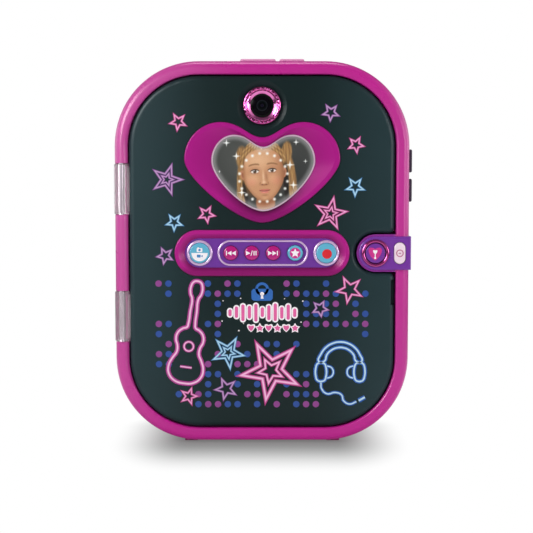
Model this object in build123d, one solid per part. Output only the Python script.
"""Electronic secret diary: a book-shaped case that stands on its bottom edge, with a hinged front lid.

The case is a moulded frame with a rear shell, an inner tray for a notebook and an electronics bay behind it.
The lid carries the heart window, the button panel and the camera.  A tab on the case reaches into a notch in the
lid and holds the unlock key, the power key and the bolt that locks the lid.

Frame: X to the right, Y to the back, Z up.  The origin is on the floor, midway between the case's sides and
midway between the foremost ring and the back.  Millimetres throughout.
"""
from build123d import *

import os
from math import cos, radians, sin, sqrt

os.makedirs("parts", exist_ok=True)

# ---------------------------------------------------------------- driving dimensions: the case
body_width = 170.0
body_height = 220.0
centre_offset = 1.0  # middle of the case behind the origin, for what stands out in front
corner_radius = 48.6
foot_height = 1.2
frame_depth = 30.0  # front face to the parting line with the rear shell
wall = 2.0
lip_width = 7.7  # the coloured band round the lid
lip_wall = 1.8
lip_outer_round = 3.85
lip_inner_round = 1.1
ledge_width = 3.5
ledge_thick = 1.8
rear_round = 4.0
seam_chamfer = 0.35  # on both shells, where they meet
seat_gap = 0.1  # between pieces that are fitted together and don't move
key_gap = 0.3  # round a key in its hole
running_gap = 0.05  # radial, pin in knuckle

# ---------------------------------------------------------------- the lid
lid_gap = 0.6  # all round, between lid and frame
lid_drop = 0.2  # lid face behind the front plane
lid_depth = 13.3
lid_rest_gap = 0.3  # lid to the ledge it closes on
lid_face_wall = 2.0
lid_side_wall = 2.3
lid_cover_thick = 1.8
lid_edge_round = 3.0
lid_notch_corner = 3.4  # plan radius where the notch meets the lid's edge

# ---------------------------------------------------------------- hinge
pin_radius = 1.25
pin_inset = 3.65  # pin's axis from the case's side
pin_depth = 3.85  # pin's axis behind the front plane
swing_gap = 0.3  # lip to the lid's edge as it swings past
swing_zone = 30.0  # how far from the pin the lip is cut back for that
knuckle_radius = 4.15
knuckle_length = 29.2
knuckle_pitch = 73.8  # centre to centre
knuckle_slot_gap = 0.35
knuckle_arm_thick = 4.0
knuckle_arm_reach = 17.0  # from the pin's axis into the lid
pin_overrun = 9.0  # past each outer knuckle, in the frame

# ---------------------------------------------------------------- features on the lid, heights from mid-height
controls_z = -0.15
heart_outer = dict(x=0.1, half=44.8, cleft=66.4, top=75.1, lobe=24.0, widest=53.9, tip=17.4, fullness=0.31)
heart_window = dict(x=0.7, half=29.9, cleft=61.0, top=67.9, lobe=16.8, widest=53.0, tip=24.0, fullness=0.36)
bezel_proud = 1.0  # heart and panel surrounds above the lid face
bezel_flat = 3.0  # level band before the surround slopes inwards
bezel_flange = 1.5
panel_flange = 1.0
bezel_flange_thick = 1.3
window_drop = 0.9  # window trim's face behind the lid face
window_rim = 0.9
window_thick = 1.2
window_lip = 1.2
panel_width = 101.1
panel_height = 26.7
plate_width = 89.4
plate_height = 17.0
plate_drop = 0.9
plate_thick = 1.4
camera_z = 84.5
camera_ring_radius = 10.9
camera_ring_crown = 1.5  # above the lid face
camera_lens_radius = 6.8
camera_dish_radius = 14.3
camera_dish_depth = 1.2
finger_notch_length = 15.0
finger_notch_depth = 2.2
finger_notch_z = -23.0
screen_width = 66.0
screen_height = 48.0
screen_thick = 3.0
screen_z = 46.2
screen_post_x = 35.8
board_thick = 1.2

# ---------------------------------------------------------------- keys
key_travel = 0.8
small_key_radius = 4.1
large_key_radius = 5.8
star_key_radius = 4.45
key_proud = 1.3  # above the plate that it stands in
key_flange = 0.8
key_flange_thick = 0.8
ring_outer = 7.5
ring_wire = 1.15  # radial width of the trim rings
ring_proud = 0.9
trim_loop_width = 52.4
trim_loop_height = 15.0
trim_loop_x = 0.4
photo_key_x = -36.1
previous_key_x = -18.1
play_key_x = -6.0
next_key_x = 6.4
effects_key_x = 19.1
record_key_x = 37.1

# ---------------------------------------------------------------- the tab and its lock
tab_left = 54.7
tab_height = 21.6
tab_wall = 1.6
tab_front_wall = 1.8
tab_notch_gap = 0.7
tab_cover_inset = 1.15
tab_cover_thick = 1.2
tab_cover_round = 0.6
tab_cover_side = 0.9  # how far it stands out past the case's side
tab_cover_flange = 14.0  # how far back it wraps round the side
unlock_x = 65.4
unlock_radius = 5.8
unlock_ring_outer = 7.95
unlock_ring_inner = 6.1
unlock_ring_proud = 0.9
unlock_travel = 1.0
power_x = 79.4
power_width = 6.5
power_length = 12.3
bolt_radius = 1.6
bolt_throw = 3.5
solenoid_half = 2.9  # half of its depth
bolt_hole_gap = 0.35

# ---------------------------------------------------------------- keys on the sides
side_key_length = 13.3
side_key_height = 6.0
side_key_proud = 1.9
side_key_y = 8.5  # behind the front plane
volume_up_z = 53.0
volume_down_z = 36.0
shutter_x = -2.4
shutter_length = 20.5
timer_x = 17.2
timer_length = 14.3
top_key_proud = 1.5

# ---------------------------------------------------------------- tray, feet, rear
tray_floor_drop = 10.5  # lid's back to the tray's floor
tray_wall = 1.5
tray_floor_thick = 1.8
divider_z = 58.0
notebook_width = 118.0
notebook_height = 138.0
notebook_z = -13.5
notebook_cover_thick = 0.6
notebook_pages_thick = 5.0
foot_x = 41.7
foot_width = 7.5
foot_length = 28.0
foot_setback = 8.0
boss_radius = 3.0
boss_inset = 7.2
screw_radius = 1.3
screw_head_radius = 2.8
screw_head_thick = 1.8
cell_radius = 7.2
cell_length = 49.5
cell_nub_radius = 2.7
cell_nub_length = 1.0
cell_side_gap = 0.6
cell_front_gap = 0.3
cell_back_gap = 0.2
cell_count = 4
bay_wall = 1.2
bay_contact_room = 5.5
bay_screw_room = 9.0
cell_end_gap = 0.7  # bay's end wall to a cell's nub
contact_thick = 0.4
contact_wire = 0.35  # radius
contact_coil_radius = 4.2
contact_coil_taper = 18.0  # degrees
contact_turns = 3.0
bay_bottom_z = -80.0
door_gap = 0.2
speaker_radius = 20.0
speaker_x = -45.0
speaker_z = 44.0
speaker_depth = 9.0

# ---------------------------------------------------------------- derived places
tray_depth = tray_floor_drop + tray_floor_thick  # lid's back to the tray's back
cell_room = cell_front_gap + 2 * cell_radius + cell_back_gap
body_depth = lid_drop + lid_depth + tray_depth + seat_gap + bay_wall + cell_room + wall
mid_z = foot_height + body_height / 2
front_y = centre_offset - body_depth / 2
back_y = centre_offset + body_depth / 2

parting_y = front_y + frame_depth
lid_front = front_y + lid_drop
lid_face_back = lid_front + lid_face_wall
lid_back = lid_front + lid_depth
lid_cover_front = lid_back - lid_cover_thick
ledge_front = lid_back + lid_rest_gap
ledge_back = ledge_front + ledge_thick
lid_inset = lip_width + lid_gap
hinge_x = -body_width / 2 + pin_inset
hinge_y = front_y + pin_depth
tab_half = tab_height / 2
tray_inset = lip_width + ledge_width + 0.3
tray_floor_y = lid_back + tray_floor_drop
tray_back = lid_back + tray_depth
notch_left = tab_left - tab_notch_gap
notch_half = tab_half + tab_notch_gap
bolt_y = lid_back - tab_wall - solenoid_half
bezel_front = lid_front - bezel_proud
plate_front = lid_front + plate_drop
plate_back = plate_front + plate_thick
window_front = lid_front + window_drop
flange_back = lid_face_back + seat_gap + bezel_flange_thick
rear_inner = back_y - wall
tab_plate_back = front_y + tab_front_wall
control_z = mid_z + controls_z
knuckle_zs = [control_z + s * knuckle_pitch / 2 for s in (1, -1)]


# ---------------------------------------------------------------- helpers
def face_plane(y):
    """A drawing plane facing the viewer: its x is X, its y is Z."""
    return Plane(origin=(0, y, 0), x_dir=(1, 0, 0), z_dir=(0, -1, 0))


def slab(sketch, front, back):
    """A sketch drawn in X and Z, made solid between two depths."""
    return extrude(face_plane(back) * sketch, amount=back - front)


def block(x0, x1, y0, y1, z0, z1):
    """A box by its limits."""
    centre = ((x0 + x1) / 2, (y0 + y1) / 2, (z0 + z1) / 2)
    return Pos(*centre) * Box(abs(x1 - x0), abs(y1 - y0), abs(z1 - z0))


def disc(x, z, radius):
    return Pos(x, z) * Circle(radius)


def outline(inset):
    """The case's outline, moved inwards by an inset."""
    shape = RectangleRounded(body_width - 2 * inset, body_height - 2 * inset, corner_radius - inset)
    return Pos(0, mid_z) * shape


def stadium(x, z, width, height):
    long, short = max(width, height), min(width, height)
    return Pos(x, z) * Rot(0, 0, 0 if width >= height else 90) * SlotOverall(long, short)


def heart(shape, inset=0.0):
    """A heart from its own sizes, heights taken from mid-height, moved inwards by an inset."""
    half = shape["half"] - inset
    cleft = mid_z + shape["cleft"] - inset
    top = mid_z + shape["top"] - inset
    lobe = shape["lobe"]
    widest = mid_z + shape["widest"]
    tip = mid_z + shape["tip"] + inset
    upper = Bezier((0, cleft), (0.33 * lobe, cleft), (0.5 * lobe, top), (lobe, top))
    shoulder = Bezier(
        (lobe, top), (lobe + 0.55 * (half - lobe), top), (half, widest + 0.55 * (top - widest)), (half, widest)
    )
    fullness = shape["fullness"]
    lower = Bezier((half, widest), (half, widest - fullness * (widest - tip)), (fullness * half, tip), (0, tip))
    right = [upper, shoulder, lower]
    left = [edge.mirror(Plane.YZ) for edge in right]
    return Pos(shape["x"], 0) * make_face(Wire(right + left))


def turned(points, x, z):
    """A turned piece: (radius, Y) points spun about an axis along Y at (x, z)."""
    profile = make_face(Plane.XY * Polyline(*points, close=True))
    return Pos(x, 0, z) * revolve(profile, Axis.Y)


def lying(x0, x1, y, z, radius):
    """A cylinder along X between two places."""
    return Pos((x0 + x1) / 2, y, z) * Rot(0, 90, 0) * Cylinder(radius, abs(x1 - x0))


def upright(x, y, z0, z1, radius):
    """A cylinder along Z between two heights."""
    return Pos(x, y, (z0 + z1) / 2) * Cylinder(radius, abs(z1 - z0))


def edges_at(solid, y):
    """Edges lying wholly in the plane at depth y."""
    return solid.edges().filter_by_position(Axis.Y, y - 1e-4, y + 1e-4)


def ring_of(edges, inset):
    """Of some edges, those on the outline at an inset."""
    half_w, half_h = body_width / 2 - inset, body_height / 2 - inset
    corner = corner_radius - inset

    def near(edge):
        point = edge @ 0.5
        dx = max(abs(point.X) - (half_w - corner), 0)
        dz = max(abs(point.Z - mid_z) - (half_h - corner), 0)
        return abs(sqrt(dx * dx + dz * dz) - corner) < 0.05

    return [edge for edge in edges if near(edge)]


def save(node, shape):
    export_step(shape if isinstance(shape, Compound) else Compound([shape]), f"parts/{node}.step")


def group(*shapes):
    """Separate solids kept in one node."""
    solids = [solid for shape in shapes for solid in shape.solids()]
    return Compound(solids)


# ---------------------------------------------------------------- shared shapes
def tab_outline(inset, right):
    """The tab seen from the front: a round left end, cut square at the right."""
    radius = tab_half - inset
    width = right - tab_left - inset
    centre_x = tab_left + inset + width / 2
    length = width + 2 * radius
    zone = Pos(centre_x, control_z) * Rectangle(width, 2 * radius)
    return stadium(centre_x + radius, control_z, length, 2 * radius) & zone


def case_block():
    """The case's front half before it is hollowed, with its outer edge rounded."""
    solid = slab(outline(0), front_y, parting_y)
    solid = fillet(ring_of(edges_at(solid, front_y), 0), lip_outer_round)
    return chamfer(ring_of(edges_at(solid, parting_y), 0), seam_chamfer)


boss_places = [
    (
        sx * (body_width / 2 - corner_radius + (corner_radius - boss_inset) * cos(radians(45))),
        mid_z + sz * (body_height / 2 - corner_radius + (corner_radius - boss_inset) * sin(radians(45))),
    )
    for sx in (-1, 1)
    for sz in (-1, 1)
] + [(sx * (body_width / 2 - boss_inset), mid_z - 4.0) for sx in (-1, 1)]


# ---------------------------------------------------------------- the case
def make_frame():
    """Front moulding of the case: outer wall, lip, lid pocket, ledge, hinge block and the tab's box."""
    solid = case_block() - slab(outline(lip_width), front_y, ledge_front)
    solid = fillet(ring_of(edges_at(solid, front_y), lip_width), lip_inner_round)
    solid -= slab(outline(lip_width + ledge_width), front_y, parting_y)
    solid -= slab(outline(wall), ledge_back, parting_y)
    channel = slab(outline(wall) - outline(lip_width - lip_wall), front_y + wall, ledge_back)
    block_half = knuckle_pitch / 2 + knuckle_length / 2 + pin_overrun + 2.0
    block_back = hinge_y + knuckle_radius + knuckle_slot_gap + 1.5
    channel -= block(
        -body_width / 2, hinge_x + lip_width, front_y, block_back, control_z - block_half, control_z + block_half
    )
    solid -= channel
    tab_back = ledge_front - lid_rest_gap - tab_wall
    inside = body_width / 2 - lip_width + lip_wall
    tab = slab(tab_outline(0, body_width / 2 - lip_width + 0.5), front_y, tab_back)
    hollow = slab(tab_outline(tab_wall, inside + 0.2), tab_plate_back, tab_back)
    solid = solid + tab - hollow
    solid -= slab(disc(unlock_x, control_z, unlock_ring_inner + 0.85), front_y - 1, tab_plate_back + 0.1)
    solid -= slab(stadium(power_x, control_z, power_width + 2 * key_gap, power_length + 2 * key_gap),
                  front_y - 1, front_y + wall + 0.1)
    solid -= lying(tab_left - 1, tab_left + tab_wall + 1, bolt_y, control_z, bolt_radius + bolt_hole_gap)
    for x, z in board_post_places:
        solid += slab(disc(x, z, 1.0), tab_plate_back - 0.2, tab_board_front)
    for z in knuckle_zs:
        solid -= knuckle_room(z)
    solid -= lid_swing_relief()
    solid -= upright(hinge_x, hinge_y, *pin_span, pin_radius + 0.02)
    for z in (volume_up_z, volume_down_z):
        solid -= side_key_hole(z)
    for x, length in ((shutter_x, shutter_length), (timer_x, timer_length)):
        solid -= top_key_hole(x, length)
    for x, z in boss_places:
        solid += slab(disc(x, z, boss_radius), ledge_back - 0.2, parting_y)
        solid -= slab(disc(x, z, screw_radius - 0.1), ledge_back + 1.0, parting_y)
    return solid


pin_span = (
    control_z - knuckle_pitch / 2 - knuckle_length / 2 - pin_overrun,
    control_z + knuckle_pitch / 2 + knuckle_length / 2 + pin_overrun,
)
tab_board_front = front_y + 4.6
board_post_places = [(tab_left + 5.0, control_z + s * 7.0) for s in (-1, 1)] + [
    (tab_left + 18.8, control_z + s * 8.0) for s in (-1, 1)
]


def knuckle_room(z):
    """The gap in the hinge block where one knuckle turns."""
    radius = knuckle_radius + knuckle_slot_gap
    half = knuckle_length / 2 + knuckle_slot_gap
    arm_back = hinge_y + knuckle_arm_thick / 2 + knuckle_slot_gap
    pocket_x = -body_width / 2 + lip_width + 1.5  # just inside the lid's pocket
    front = block(hinge_x - 2 * radius, pocket_x, front_y - 2, hinge_y, z - half, z + half)
    inner = block(hinge_x, pocket_x, hinge_y - 1, arm_back, z - half, z + half)
    return upright(hinge_x, hinge_y, z - half, z + half, radius) + front + inner


def lid_swing_relief():
    """What the lid's hinge-side edge sweeps as it opens, with a clearance: the lip is cut back by it."""
    near_hinge = Pos(hinge_x + swing_zone / 2, mid_z) * Rectangle(swing_zone, body_height)
    section = face_plane(hinge_y) * (outline(lid_inset - swing_gap) & near_hinge)
    return revolve(section, Axis((hinge_x, hinge_y, 0), (0, 0, -1)), 90)


def side_key_hole(z):
    y = front_y + side_key_y
    half_y = side_key_height / 2 + key_gap
    half_z = side_key_length / 2 + key_gap
    x = body_width / 2
    return block(x - wall - 0.5, x + 1, y - half_y, y + half_y, mid_z + z - half_z, mid_z + z + half_z)


def top_key_hole(x, length):
    y = front_y + side_key_y
    half_y = side_key_height / 2 + key_gap
    half_x = length / 2 + key_gap
    top = mid_z + body_height / 2
    return block(x - half_x, x + half_x, y - half_y, y + half_y, top - wall - 0.5, top + 1)


def make_tab_cover():
    """Coloured cap over the tab, wrapping round the case's side."""
    right = body_width / 2 + tab_cover_side
    front = front_y - tab_cover_thick
    back = front_y + tab_cover_flange
    solid = slab(tab_outline(tab_cover_inset, right), front, back)
    solid -= slab(outline(-seat_gap / 2), front_y, back + 1)
    solid += corner_filler(front, back, right)
    solid -= slab(disc(unlock_x, control_z, unlock_ring_outer + seat_gap), front - 1, front_y + 1)
    slot = stadium(power_x, control_z, power_width + 2 * key_gap, power_length + 2 * key_gap)
    solid -= slab(slot, front - 1, front_y + wall)
    rim = [e for e in edges_at(solid, front) if e.center().X < unlock_x - unlock_ring_outer - 0.5
           or e.center().X > right - 0.01 or abs(e.center().Z - control_z) > tab_half - tab_cover_inset - 0.01]
    return fillet(rim, tab_cover_round)


def corner_filler(front, back, right):
    """The part of the cap that follows the case's rounded front edge."""
    half = tab_half - tab_cover_inset
    x0 = body_width / 2 - lip_outer_round
    zone = block(x0, right, front, front_y + lip_outer_round, control_z - half, control_z + half)
    bulk = block(x0 - 1, body_width / 2 + seat_gap / 2, front_y + lip_outer_round, back,
                 control_z - half - 1, control_z + half + 1)
    roll = upright(x0, front_y + lip_outer_round, control_z - half - 1, control_z + half + 1,
                   lip_outer_round + seat_gap / 2)
    return zone - roll - bulk


def make_tab_base():
    """Plate that closes the tab's box from behind."""
    back = ledge_front - lid_rest_gap
    return slab(tab_outline(0, body_width / 2 - lip_width - seat_gap), back - tab_wall, back)


def make_unlock_ring():
    """Plated ring round the unlock key, with a skirt into the tab's face."""
    crown = front_y - tab_cover_thick - unlock_ring_proud
    mid = (unlock_ring_outer + unlock_ring_inner) / 2
    points = [
        (unlock_ring_inner, tab_plate_back),
        (unlock_ring_inner, crown + 0.5),
        (unlock_ring_inner + 0.25, crown + 0.12),
        (mid - 0.2, crown),
        (mid + 0.3, crown),
        (unlock_ring_outer - 0.25, crown + 0.3),
        (unlock_ring_outer, crown + 0.8),
        (unlock_ring_outer, front_y),
        (unlock_ring_inner + 0.75, front_y),
        (unlock_ring_inner + 0.75, tab_plate_back),
    ]
    return turned(points, unlock_x, control_z)


def dome(radius, front, fall, steps=8):
    """Points of a shallow dome from its middle at front out to radius, where it has fallen back by fall."""
    return [(radius * i / steps, front + fall * (i / steps) ** 2) for i in range(steps + 1)]


def domed_key(radius, front, plate_rear, x, z, proud_dome=0.35):
    """A round key: a slightly domed cap in its hole, with a flange that keeps it in."""
    flange = plate_rear + 0.3
    points = dome(radius - 0.55, front - proud_dome, proud_dome * 0.85) + [
        (radius - 0.32, front + 0.05),
        (radius - 0.14, front + 0.2),
        (radius - 0.03, front + 0.4),
        (radius, front + 0.62),
        (radius, flange),
        (radius + key_flange, flange),
        (radius + key_flange, flange + key_flange_thick),
        (0, flange + key_flange_thick),
    ]
    return turned(points, x, z)


def make_unlock_key():
    front = front_y - tab_cover_thick - 0.1
    return domed_key(unlock_radius, front, tab_plate_back, unlock_x, control_z, 0.2)


def make_power_key():
    """Pill-shaped power key over the lip."""
    front = front_y - tab_cover_thick - 0.5
    flange = front_y + wall + 0.3
    cap = slab(stadium(power_x, control_z, power_width, power_length), front, flange + 0.2)
    cap = fillet(edges_at(cap, front), 0.6)
    ears = slab(stadium(power_x, control_z, power_width, power_length + 2.4), flange, flange + key_flange_thick)
    return cap + ears


def make_latch_solenoid():
    """Coil in its bracket; the bolt slides in its left end."""
    x0, x1 = tab_left + 8.5, tab_left + 20.0
    body = block(x0, x1, bolt_y - solenoid_half, bolt_y + solenoid_half, control_z - 4.6, control_z + 4.6)
    return body - lying(x0 - 1, x0 + 9.0, bolt_y, control_z, bolt_radius + running_gap)


def make_latch_bolt():
    """Steel bolt, stored withdrawn; it slides out of the tab's end into the lid."""
    tip = tab_left + 0.4
    rod = lying(tip, tab_left + 15.0, bolt_y, control_z, bolt_radius)
    rod = chamfer(rod.edges().sort_by(Axis.X)[0], 0.4)
    collar_x = tab_left + tab_wall + bolt_throw + 0.8
    collar = lying(collar_x, collar_x + 1.0, bolt_y, control_z, bolt_radius + 0.9)
    return rod + collar


def make_tab_board():
    """Circuit board behind the unlock and power keys."""
    right = body_width / 2 - wall - 0.4
    return slab(tab_outline(tab_wall + 0.4, right), tab_board_front, tab_board_front + 1.0)


def make_tab_switches():
    """Two tact switches, one behind each key on the tab."""
    places = ((unlock_x, 6.0), (power_x, 4.6))
    front = tab_plate_back + 0.3 + key_flange_thick + unlock_travel + 0.1
    return group(*[
        block(x - size / 2, x + size / 2, front, tab_board_front, control_z - size / 2, control_z + size / 2)
        for x, size in places
    ])


def make_rear_case():
    """Rear shell: back wall with the battery opening, speaker holes and screw wells."""
    solid = slab(outline(0), parting_y, back_y)
    solid = fillet(ring_of(edges_at(solid, back_y), 0), rear_round)
    solid = chamfer(ring_of(edges_at(solid, parting_y), 0), seam_chamfer)
    solid -= slab(outline(wall), parting_y - 1, rear_inner)
    for x, z in boss_places:
        solid += slab(disc(x, z, screw_head_radius + 1.3), parting_y, rear_inner + 0.5)
        solid -= slab(disc(x, z, screw_radius + 0.2), parting_y - 1, back_y + 1)
        solid -= slab(disc(x, z, screw_head_radius + 0.2), parting_y + 3.0, back_y + 1)
    solid -= slab(door_outline(0), rear_inner - 1, back_y + 1)
    for x, z in speaker_holes():
        solid -= slab(disc(x, z, 1.1), rear_inner - 1, back_y + 1)
    return solid


def speaker_holes():
    """Places of the round holes over the speaker: a centre hole and two rings."""
    places = [(speaker_x, mid_z + speaker_z)]
    for ring_radius, count in ((5.5, 6), (11.0, 12)):
        for i in range(count):
            angle = radians(360 * i / count)
            places.append((speaker_x + ring_radius * cos(angle), mid_z + speaker_z + ring_radius * sin(angle)))
    return places


cell_pitch = 2 * cell_radius + cell_side_gap
bay_half = cell_count * cell_pitch / 2 + 0.8
bay_z0 = mid_z + bay_bottom_z
bay_cells_top = bay_z0 + bay_wall + cell_length + cell_nub_length + bay_contact_room
bay_top = bay_cells_top + bay_wall + bay_screw_room + bay_wall
bay_floor_front = tray_back + seat_gap
bay_floor_back = bay_floor_front + bay_wall


def door_outline(inset):
    width = 2 * bay_half - 2 * inset
    height = bay_top - bay_z0 - 2 * bay_wall - 2 * inset
    return Pos(0, (bay_z0 + bay_top) / 2) * RectangleRounded(width, height, 3.0)


def make_battery_bay():
    """Tub behind the tray that holds the cells, open to the rear."""
    outer = Pos(0, (bay_z0 + bay_top) / 2) * Rectangle(2 * (bay_half + bay_wall), bay_top - bay_z0)
    solid = slab(outer, bay_floor_front, rear_inner)
    cells = block(-bay_half, bay_half, bay_floor_back, rear_inner + 1, bay_z0 + bay_wall, bay_cells_top)
    screw = block(-bay_half, bay_half, bay_floor_back, rear_inner + 1, bay_cells_top + bay_wall, bay_top - bay_wall)
    solid = solid - cells - screw
    z = bay_cells_top + bay_wall + bay_screw_room / 2
    solid += slab(disc(0, z, 3.2), bay_floor_back - 0.2, rear_inner - 0.4)
    return solid - slab(disc(0, z, screw_radius - 0.1), bay_floor_back + 1.0, rear_inner)


def make_battery_door():
    """Door flush with the back, held by one screw."""
    solid = slab(door_outline(door_gap), rear_inner + 0.1, back_y)
    solid = chamfer(edges_at(solid, back_y), 0.4)
    z = bay_cells_top + bay_wall + bay_screw_room / 2
    solid -= slab(disc(0, z, screw_radius + 0.2), rear_inner - 1, back_y + 1)
    solid -= slab(disc(0, z, screw_head_radius + 0.2), back_y - 1.1, back_y + 1)
    grips = [
        slab(stadium(0, bay_z0 + 8.0 + 3.2 * i, 22.0, 1.4), back_y - 0.5, back_y + 1) for i in range(3)
    ]
    for grip in grips:
        solid -= grip
    return solid


def screw(x, z, head_back, length):
    """Cross-head screw driven from behind."""
    head = slab(disc(x, z, screw_head_radius), head_back - screw_head_thick, head_back)
    shank = slab(disc(x, z, screw_radius - 0.1), head_back - screw_head_thick - length, head_back - screw_head_thick)
    cross = Pos(x, z) * (Rectangle(2.8, 0.7) + Rectangle(0.7, 2.8))
    return head + shank - slab(cross, head_back - 0.8, head_back + 1)


def make_case_screws():
    head_back = parting_y + 3.0 + screw_head_thick
    return group(*[screw(x, z, head_back, 12.0) for x, z in boss_places])


def make_door_screw():
    z = bay_cells_top + bay_wall + bay_screw_room / 2
    head = slab(disc(0, z, screw_head_radius), back_y - 1.1, back_y - 0.1)
    shank = slab(disc(0, z, screw_radius - 0.1), back_y - 9.0, back_y - 1.1)
    cross = Pos(0, z) * (Rectangle(2.8, 0.7) + Rectangle(0.7, 2.8))
    return head + shank - slab(cross, back_y - 0.7, back_y + 1)


cell_y = rear_inner - cell_radius - cell_back_gap
cell_xs = [(i - (cell_count - 1) / 2) * cell_pitch for i in range(cell_count)]


def make_cells():
    """Four cells side by side, alternately turned."""
    cells = []
    z0 = bay_z0 + bay_wall
    for i, x in enumerate(cell_xs):
        up = i % 2 == 0
        start = z0 + (bay_contact_room - cell_end_gap if up else cell_end_gap + cell_nub_length)
        body = upright(x, cell_y, start, start + cell_length, cell_radius)
        nub_start = start + cell_length if up else start - cell_nub_length
        nub = upright(x, cell_y, nub_start, nub_start + cell_nub_length, cell_nub_radius)
        cells.append(body + nub)
    return group(*cells)


def contact_coil(x, face, inward):
    """Conical coil that presses on a cell's flat end."""
    start = contact_thick + contact_wire
    height = bay_contact_room - cell_end_gap - 0.1 - start - contact_wire
    path = Helix(height / contact_turns, height, contact_coil_radius, cone_angle=-contact_coil_taper)
    wire = sweep(Plane(origin=path @ 0, z_dir=path % 0) * Circle(contact_wire), path)
    return Pos(x, cell_y, face + inward * start) * Rot(0 if inward > 0 else 180, 0, 0) * wire


def make_contacts():
    """Tin-plate contacts at both ends of the cells, with a coil at each flat end."""
    pieces = []
    for i, x in enumerate(cell_xs):
        up = i % 2 == 0
        for end in (0, 1):
            face = bay_z0 + bay_wall if end == 0 else bay_cells_top
            inward = 1 if end == 0 else -1
            half = cell_radius - 1.2
            pieces.append(block(x - half, x + half, cell_y - half, cell_y + half, face, face + inward * contact_thick))
            if (end == 0) == up:
                pieces.append(contact_coil(x, face, inward))
    return group(*pieces)


def make_feet():
    """Two rails under the case that it stands on."""
    feet = []
    y0 = front_y + foot_setback
    for s in (-1, 1):
        foot = block(s * foot_x - foot_width / 2, s * foot_x + foot_width / 2, y0, y0 + foot_length, 0, 8.0)
        feet.append(foot - slab(outline(-seat_gap / 2), front_y - 1, back_y + 1))
    return group(*feet)


def make_tray():
    """Inner tray behind the ledge: a flange, a floor and a divider between two compartments."""
    flange_front = ledge_back + seat_gap
    flange = slab(outline(wall + 0.4) - outline(tray_inset), flange_front, flange_front + tray_wall)
    shell = slab(outline(tray_inset), flange_front, tray_back)
    hollow = slab(outline(tray_inset + tray_wall), flange_front - 1, tray_floor_y)
    solid = flange + shell - hollow
    half = body_width / 2 - tray_inset - 1.0
    z = mid_z + divider_z
    solid += block(-half, half, flange_front, tray_floor_y + 0.2, z, z + tray_wall)
    for x, z in boss_places:
        solid -= slab(disc(x, z, boss_radius + 0.3), flange_front - 1, flange_front + tray_wall + 1)
    return solid


notebook_back = tray_floor_y - 0.1


def make_notebook_cover():
    """Folded card cover: front, back and spine in one piece."""
    pages = notebook_pages_thick
    back = notebook_back
    front = back - pages - 2 * notebook_cover_thick - 0.1
    z = mid_z + notebook_z
    outer = Pos(0, z) * RectangleRounded(notebook_width, notebook_height, 4.0)
    solid = slab(outer, front, back)
    inner = block(-notebook_width / 2 + notebook_cover_thick, notebook_width / 2 + 1,
                  front + notebook_cover_thick, back - notebook_cover_thick,
                  z - notebook_height / 2 - 1, z + notebook_height / 2 + 1)
    return solid - inner


def make_notebook_pages():
    pages = notebook_pages_thick
    back = notebook_back - notebook_cover_thick - 0.05
    z = mid_z + notebook_z
    sheet_block = Pos(-0.2, z) * RectangleRounded(
        notebook_width - 2.2 * notebook_cover_thick - 1.6, notebook_height - 3.0, 3.0)
    return slab(sheet_block, back - pages, back)


def make_speaker():
    """Speaker on the rear wall: basket, magnet and rim."""
    rear = rear_inner
    front = rear - speaker_depth
    points = [(0, front), (9.0, front), (9.0, front + 3.2), (12.0, front + 3.4), (17.5, rear - 1.8),
              (speaker_radius, rear - 1.8), (speaker_radius, rear), (17.5, rear), (5.0, rear - 3.0), (0, rear - 2.2)]
    return turned(points, speaker_x, mid_z + speaker_z)


def make_main_board():
    """Main circuit board, screwed to the back of the tray."""
    y = tray_back + 2.0
    return block(-18, 66, y, y + 1.6, mid_z + 14, mid_z + 64)


def make_main_chips():
    y = tray_back + 2.0 + 1.6
    z = mid_z
    return group(
        block(2, 16, y, y + 1.2, z + 32, z + 46),
        block(24, 34, y, y + 1.0, z + 36, z + 46),
        block(-12, -4, y, y + 1.8, z + 20, z + 28),
        block(44, 58, y, y + 5.6, z + 50, z + 63),
        block(42, 50, y, y + 2.6, z + 18, z + 26),
    )


def make_board_spacers():
    """Pillars between the tray's back and the main board."""
    return group(*[
        slab(disc(x, mid_z + z, 2.2), tray_back, tray_back + 2.0) for x in (-14, 62) for z in (18, 60)
    ])


# ---------------------------------------------------------------- keys in the case's sides
def side_key(z):
    """Rubber key through the right side, with a flange behind the wall."""
    x1 = body_width / 2 + side_key_proud
    x_flange = body_width / 2 - wall - 0.3
    y = front_y + side_key_y
    cap = block(x_flange - 0.4, x1, y - side_key_height / 2, y + side_key_height / 2,
                mid_z + z - side_key_length / 2, mid_z + z + side_key_length / 2)
    cap = fillet(cap.edges().filter_by(Axis.X), 1.6)
    cap = fillet(cap.faces().sort_by(Axis.X)[-1].edges(), 0.7)
    flange = block(x_flange - 0.7, x_flange, y - side_key_height / 2 - 0.9, y + side_key_height / 2 + 0.9,
                   mid_z + z - side_key_length / 2 - 0.9, mid_z + z + side_key_length / 2 + 0.9)
    return cap + flange


def top_key(x, length):
    """Rubber key through the top, with a flange behind the wall."""
    z1 = mid_z + body_height / 2 + top_key_proud
    z_flange = mid_z + body_height / 2 - wall - 0.3
    y = front_y + side_key_y
    cap = block(x - length / 2, x + length / 2, y - side_key_height / 2, y + side_key_height / 2, z_flange - 0.4, z1)
    cap = fillet(cap.edges().filter_by(Axis.Z), 1.6)
    cap = fillet(cap.faces().sort_by(Axis.Z)[-1].edges(), 0.9)
    flange = block(x - length / 2 - 0.9, x + length / 2 + 0.9, y - side_key_height / 2 - 0.9,
                   y + side_key_height / 2 + 0.9, z_flange - 0.7, z_flange)
    return cap + flange


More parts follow.
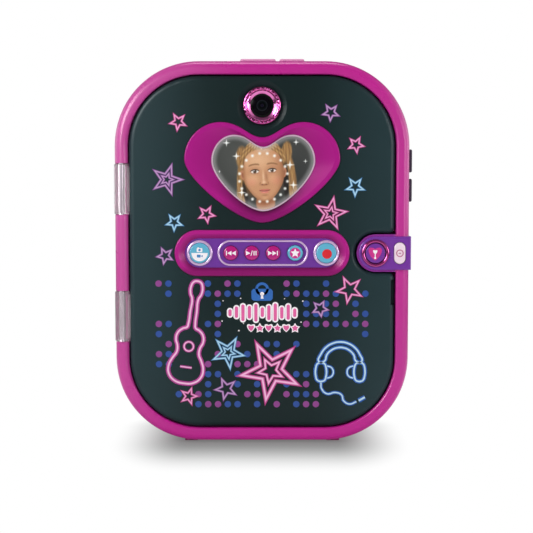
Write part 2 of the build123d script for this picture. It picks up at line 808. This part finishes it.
def make_side_key_board():
    """Thin board on the lid pocket's wall, behind the two volume keys."""
    x0 = body_width / 2 - lip_width + lip_wall
    y = front_y + side_key_y
    return block(x0, x0 + 0.8, y - 3.4, y + 3.4, mid_z + volume_down_z - 8, mid_z + volume_up_z + 8)


def make_top_key_board():
    z0 = mid_z + body_height / 2 - lip_width + lip_wall
    y = front_y + side_key_y
    x0, x1 = shutter_x - shutter_length / 2 - 1.5, timer_x + timer_length / 2 + 1.5
    return block(x0, x1, y - 3.4, y + 3.4, z0, z0 + 0.8)


# ---------------------------------------------------------------- the lid
def notch_outline(gap):
    """The cut-out in the lid that clears the tab."""
    radius = tab_half + gap
    centre_x = tab_left + tab_half
    right = body_width / 2
    rectangle = Pos((centre_x + right) / 2, control_z) * Rectangle(right - centre_x, 2 * radius)
    return disc(centre_x, control_z, radius) + rectangle


def lid_outline(inset):
    """The lid's outline with its notch, moved inwards; the notch's mouth has rounded corners."""
    shape = outline(lid_inset + inset) - notch_outline(tab_notch_gap + inset)
    mouth_x = body_width / 2 - lid_inset - inset
    mouth_half = notch_half + inset
    corners = [v for v in shape.vertices() if abs(v.X - mouth_x) < 0.01
               and abs(abs(v.Y - control_z) - mouth_half) < 0.01]
    return fillet(corners, lid_notch_corner - inset) if lid_notch_corner > inset else shape


lid_boss_places = [(sx * 57.0, mid_z + sz * 84.0) for sx in (-1, 1) for sz in (-1, 1)] + [
    (-66.0, control_z), (66.0, control_z - 20.0)
]
control_post_places = [(x, control_z + s * 18.0) for x in (-44.0, 44.0) for s in (-1, 1)]
control_board_front = lid_face_back + 4.4
camera_board_front = lid_front - 0.35 + 2.2 + 5.2


def make_lid_shell():
    """Front moulding of the lid, with its openings and the notch for the tab."""
    solid = slab(lid_outline(0), lid_front, lid_cover_front)
    solid = fillet(edges_at(solid, lid_front), lid_edge_round)
    solid -= slab(lid_outline(lid_side_wall), lid_face_back, lid_cover_front)
    solid -= slab(heart(heart_outer, -0.15), lid_front - 1, lid_face_back + 1)
    solid -= slab(stadium(0, control_z, panel_width + 0.3, panel_height + 0.3), lid_front - 1, lid_face_back + 1)
    solid -= camera_dish()
    solid -= slab(disc(0, mid_z + camera_z, camera_ring_radius + 0.15), lid_front - 1, lid_face_back + 1)
    for x, z in lid_boss_places:
        solid += slab(disc(x, z, 2.8), lid_face_back - 0.2, lid_cover_front)
        solid -= slab(disc(x, z, screw_radius - 0.1), lid_face_back + 1.0, lid_cover_front)
    for x, z in control_post_places:
        solid += slab(disc(x, z, 1.6), lid_face_back - 0.2, control_board_front)
    solid -= lying(notch_left - lid_side_wall - 1, notch_left + 1, bolt_y, control_z, bolt_radius + 0.5)
    for z in knuckle_zs:
        solid -= arm_block(z, 0.1)
        for place in arm_post_places(z):
            solid += slab(disc(*place, 2.2), lid_face_back - 0.2, hinge_y + knuckle_arm_thick / 2 - 0.1)
            solid -= slab(disc(*place, screw_radius - 0.2), lid_face_back + 0.4, lid_cover_front)
    for x in (-13.8, 13.8):
        solid += slab(disc(x, mid_z + camera_z, 1.4), lid_face_back - 0.2, camera_board_front)
    for side in (-1, 1):
        post = disc(heart_window["x"] + side * screen_post_x, mid_z + screen_z - 19.0, 1.6)
        solid += slab(post, lid_face_back - 0.2, flange_back + screen_thick)
    return solid - finger_notch()


def camera_dish():
    """Shallow cone sunk round the camera."""
    r0, r1 = camera_dish_radius, camera_ring_radius + 0.3
    points = [(0, lid_front - 1), (r0 + 0.8, lid_front - 1), (r0, lid_front), (r1, lid_front + camera_dish_depth),
              (0, lid_front + camera_dish_depth)]
    return turned(points, 0, mid_z + camera_z)


def finger_notch():
    """Finger recess in the lid's free edge."""
    x = body_width / 2 - lid_inset
    z = mid_z + finger_notch_z
    half = finger_notch_length / 2
    cut = block(x - finger_notch_depth, x + 2, lid_front - 1, lid_front + 4.5, z - half, z + half)
    return fillet(cut.edges().filter_by(Axis.Y).group_by(Axis.X)[0], 1.0)


def make_lid_cover():
    """Inner cover of the lid, with a shallow raised border."""
    solid = slab(lid_outline(0), lid_cover_front, lid_back)
    solid = chamfer(edges_at(solid, lid_back), 0.5)
    solid -= slab(lid_outline(9.0), lid_back - 0.5, lid_back + 1)
    for x, z in lid_boss_places:
        solid -= slab(disc(x, z, screw_radius + 0.2), lid_cover_front - 1, lid_back + 1)
        solid -= slab(disc(x, z, 2.5), lid_back - 1.1, lid_back + 1)
    return solid


def make_lid_screws():
    screws = []
    for x, z in lid_boss_places:
        head = slab(disc(x, z, 2.3), lid_back - 1.1, lid_back - 0.2)
        shank = slab(disc(x, z, screw_radius - 0.1), lid_back - 7.5, lid_back - 1.1)
        cross = Pos(x, z) * (Rectangle(2.4, 0.6) + Rectangle(0.6, 2.4))
        screws.append(head + shank - slab(cross, lid_back - 0.7, lid_back + 1))
    return group(*screws)


def bezel(outer, outer_flange, slope_top, slope_bottom, floor_y):
    """A surround: rounded outer edge, a level band, then a slope down to the floor depth."""
    solid = slab(outer, bezel_front, lid_face_back + seat_gap)
    solid = fillet(edges_at(solid, bezel_front), 0.9)
    solid += slab(outer_flange, lid_face_back + seat_gap, flange_back)
    cut = loft([face_plane(bezel_front) * slope_top, face_plane(floor_y) * slope_bottom])
    return solid - cut


def make_heart_bezel():
    solid = bezel(
        heart(heart_outer), heart(heart_outer, -bezel_flange), heart(heart_outer, bezel_flat),
        heart(heart_window, -0.6), window_front + 0.3,
    )
    solid -= slab(heart(heart_window), bezel_front, flange_back + 1)
    solid -= slab(heart(heart_window, -window_lip - seat_gap), window_back - window_thick, flange_back + 1)
    for side in (-1, 1):
        post = disc(heart_window["x"] + side * screen_post_x, mid_z + screen_z + 17.0, 1.6)
        solid += slab(post, flange_back - 0.2, flange_back + screen_thick)
    return solid


window_back = flange_back


def make_window_trim():
    """Bright rim round the heart window."""
    ring = heart(heart_window, 0.05) - heart(heart_window, window_rim)
    return slab(ring, window_front, window_back - window_thick - 0.05)


def make_window():
    """Clear heart window: a raised centre and a seating flange."""
    boss = slab(heart(heart_window, window_rim + 0.05), window_front + 0.25, window_back - window_thick)
    flange = slab(heart(heart_window, -window_lip), window_back - window_thick, window_back)
    return boss + flange


def make_screen():
    """Display module behind the window."""
    x, z = heart_window["x"], mid_z + screen_z
    half_w, half_h = screen_width / 2, screen_height / 2
    return block(x - half_w, x + half_w, flange_back, flange_back + screen_thick, z - half_h, z + half_h)


def make_screen_board():
    x, z = heart_window["x"], mid_z + screen_z
    y = flange_back + screen_thick
    half_w, half_h = screen_width / 2 + 5, screen_height / 2
    return block(x - half_w, x + half_w, y, y + board_thick, z - half_h, z + half_h)


def make_panel_bezel():
    solid = bezel(
        stadium(0, control_z, panel_width, panel_height),
        stadium(0, control_z, panel_width + 2 * panel_flange, panel_height + 2 * panel_flange),
        stadium(0, control_z, panel_width - 4.6, panel_height - 4.6),
        stadium(0, control_z, plate_width + 0.6, plate_height + 0.6),
        plate_front - 0.1,
    )
    solid -= slab(stadium(0, control_z, plate_width, plate_height), bezel_front, flange_back + 1)
    ledge = stadium(0, control_z, plate_width + 2.6, plate_height + 2.6)
    return solid - slab(ledge, plate_front + 0.6, flange_back + 1)


key_specs = {
    "photo_key": (photo_key_x, large_key_radius),
    "previous_key": (previous_key_x, small_key_radius),
    "play_key": (play_key_x, small_key_radius),
    "next_key": (next_key_x, small_key_radius),
    "effects_key": (effects_key_x, star_key_radius),
    "record_key": (record_key_x, large_key_radius),
}


def make_panel_plate():
    """Plate that the keys stand in."""
    solid = slab(stadium(0, control_z, plate_width - 0.2, plate_height - 0.2), plate_front, plate_back)
    solid += slab(stadium(0, control_z, plate_width + 2.4, plate_height + 2.4), plate_front + 0.7, plate_back)
    for x, radius in key_specs.values():
        solid -= slab(disc(x, control_z, radius + key_gap), plate_front - 1, plate_back + 1)
    return solid


def make_panel_trims():
    """Bright trims on the plate: a ring round each end key and a loop round the middle ones."""
    crown = plate_front - ring_proud
    pieces = []
    for x in (photo_key_x, record_key_x):
        inner = ring_outer - ring_wire
        points = [(inner, plate_front), (inner, crown + 0.35), (inner + 0.3, crown), (ring_outer - 0.35, crown),
                  (ring_outer, crown + 0.45), (ring_outer, plate_front)]
        pieces.append(turned(points, x, control_z))
    width, height = trim_loop_width, trim_loop_height
    loop = stadium(trim_loop_x, control_z, width, height) - stadium(trim_loop_x, control_z, width - 1.9, height - 1.9)
    loop = slab(loop, plate_front - 0.6, plate_front)
    pieces.append(fillet(edges_at(loop, plate_front - 0.6), 0.35))
    return group(*pieces)


def make_panel_key(name):
    x, radius = key_specs[name]
    return domed_key(radius, plate_front - key_proud + 0.2, plate_back, x, control_z, 0.3)


def make_key_mat():
    """Rubber sheet under the keys, with a dome for each."""
    front = plate_back + 0.3 + key_flange_thick + key_travel + 0.1
    sheet_front = control_board_front - 0.9
    solid = slab(stadium(0, control_z, plate_width - 1, plate_height + 3), sheet_front, control_board_front)
    for x, radius in key_specs.values():
        solid += slab(disc(x, control_z, radius * 0.5), min(front, sheet_front - 0.1), sheet_front + 0.1)
    return solid


def make_control_board():
    return slab(Pos(-3.0, control_z) * Rectangle(103.0, 42.0), control_board_front,
                control_board_front + board_thick)


def make_camera_ring():
    """Plated ring round the camera: two bright steps round a dark centre."""
    crown = lid_front - camera_ring_crown
    inner = camera_lens_radius + 0.1
    outer = camera_ring_radius
    points = [
        (inner, lid_face_back + 1.2), (inner, lid_front - 0.3), (inner + 1.5, crown + 0.55), (inner + 1.7, crown + 0.5),
        (inner + 1.9, crown + 0.1), (outer - 1.4, crown), (outer - 0.5, crown + 0.3), (outer, crown + 0.9),
        (outer, lid_face_back + 0.1), (outer + 1.4, lid_face_back + 0.1), (outer + 1.4, lid_face_back + 1.2),
    ]
    return turned(points, 0, mid_z + camera_z)


def make_camera_lens():
    """Dark domed lens cover."""
    front = lid_front - 0.35
    r = camera_lens_radius
    points = dome(r, front, 0.75) + [(r, front + 2.2), (0, front + 2.2)]
    return turned(points, 0, mid_z + camera_z)


def make_camera_module():
    """Camera block behind the lens cover, on its own small board."""
    front = lid_front - 0.35 + 2.2
    z = mid_z + camera_z
    barrel = slab(disc(0, z, 4.2), front, front + 3.0)
    housing = block(-5, 5, front + 3.0, front + 5.2, z - 5, z + 5)
    board = block(-16, 16, camera_board_front, camera_board_front + 1.0, z - 8, z + 8)
    return barrel + housing + board


def make_microphone():
    """Microphone capsule on the camera's board."""
    return slab(disc(9.0, mid_z + camera_z, 2.4), camera_board_front - 2.2, camera_board_front)


def arm_block(z, gap=0.0):
    """The knuckle's arm, which runs from the pin into the lid."""
    half = knuckle_length / 2 - 2.0 + gap
    y0 = hinge_y - knuckle_arm_thick / 2 - gap
    y1 = hinge_y + knuckle_arm_thick / 2 + gap
    return block(hinge_x, hinge_x + knuckle_arm_reach, y0, y1, z - half, z + half)


def make_knuckles():
    """Two clear hinge knuckles with the arms that hold the lid."""
    pieces = []
    for z in knuckle_zs:
        half = knuckle_length / 2
        barrel = upright(hinge_x, hinge_y, z - half, z + half, knuckle_radius)
        barrel = chamfer(barrel.edges().filter_by(GeomType.CIRCLE), 0.5)
        solid = barrel + arm_block(z)
        solid -= upright(hinge_x, hinge_y, z - half - 1, z + half + 1, pin_radius + running_gap)
        for place in arm_post_places(z):
            solid -= slab(disc(*place, 2.3), front_y, hinge_y + knuckle_arm_thick)
        pieces.append(solid)
    return group(*pieces)


def arm_post_places(z):
    """Where the lid's posts pass through a knuckle's arm."""
    return [(hinge_x + knuckle_arm_reach - 4.2, z + s * 8.0) for s in (-1, 1)]


def make_arm_screws():
    """Screws through the knuckles' arms into the lid's posts."""
    screws = []
    y0 = hinge_y + knuckle_arm_thick / 2
    for knuckle_z in knuckle_zs:
        for x, z in arm_post_places(knuckle_z):
            head = slab(disc(x, z, 3.2), y0, y0 + 1.3)
            shank = slab(disc(x, z, screw_radius - 0.2), lid_face_back + 0.6, y0)
            cross = Pos(x, z) * (Rectangle(3.2, 0.7) + Rectangle(0.7, 3.2))
            screws.append(head + shank - slab(cross, y0 + 0.6, y0 + 2))
    return group(*screws)


def make_hinge_pin():
    return upright(hinge_x, hinge_y, pin_span[0] + 0.2, pin_span[1] - 0.2, pin_radius)


def make_strike_plate():
    """Steel plate in the lid that the bolt enters."""
    x1 = notch_left - lid_side_wall
    curve = notch_outline(tab_notch_gap + lid_side_wall + 0.9) - notch_outline(tab_notch_gap + lid_side_wall + 0.05)
    plate = slab(curve, bolt_y - 3.2, lid_cover_front - seat_gap)
    plate = plate & block(x1 - 2, x1 + 3, front_y, back_y, control_z - 6.5, control_z + 6.5)
    return plate - lying(x1 - 2, x1 + 1, bolt_y, control_z, bolt_radius + 0.5)


# ---------------------------------------------------------------- writing the nodes
nodes = {
    "frame": make_frame,
    "tab_cover": make_tab_cover,
    "tab_base": make_tab_base,
    "unlock_ring": make_unlock_ring,
    "unlock_key": make_unlock_key,
    "power_key": make_power_key,
    "latch_solenoid": make_latch_solenoid,
    "latch_bolt": make_latch_bolt,
    "tab_board": make_tab_board,
    "tab_switches": make_tab_switches,
    "rear_case": make_rear_case,
    "battery_bay": make_battery_bay,
    "battery_door": make_battery_door,
    "case_screws": make_case_screws,
    "door_screw": make_door_screw,
    "battery_cells": make_cells,
    "battery_contacts": make_contacts,
    "feet": make_feet,
    "tray": make_tray,
    "notebook_cover": make_notebook_cover,
    "notebook_pages": make_notebook_pages,
    "speaker": make_speaker,
    "main_board": make_main_board,
    "main_chips": make_main_chips,
    "board_spacers": make_board_spacers,
    "volume_up_key": lambda: side_key(volume_up_z),
    "volume_down_key": lambda: side_key(volume_down_z),
    "shutter_key": lambda: top_key(shutter_x, shutter_length),
    "timer_key": lambda: top_key(timer_x, timer_length),
    "side_key_board": make_side_key_board,
    "top_key_board": make_top_key_board,
    "lid_shell": make_lid_shell,
    "lid_cover": make_lid_cover,
    "lid_screws": make_lid_screws,
    "heart_bezel": make_heart_bezel,
    "window_trim": make_window_trim,
    "window": make_window,
    "screen": make_screen,
    "screen_board": make_screen_board,
    "panel_bezel": make_panel_bezel,
    "panel_plate": make_panel_plate,
    "panel_trims": make_panel_trims,
    "key_mat": make_key_mat,
    "control_board": make_control_board,
    "camera_ring": make_camera_ring,
    "camera_lens": make_camera_lens,
    "camera_module": make_camera_module,
    "microphone": make_microphone,
    "hinge_knuckles": make_knuckles,
    "arm_screws": make_arm_screws,
    "hinge_pin": make_hinge_pin,
    "strike_plate": make_strike_plate,
}
for key_name in key_specs:
    nodes[key_name] = lambda name=key_name: make_panel_key(name)

for node, make in nodes.items():
    save(node, make())
print(len(nodes), "nodes")
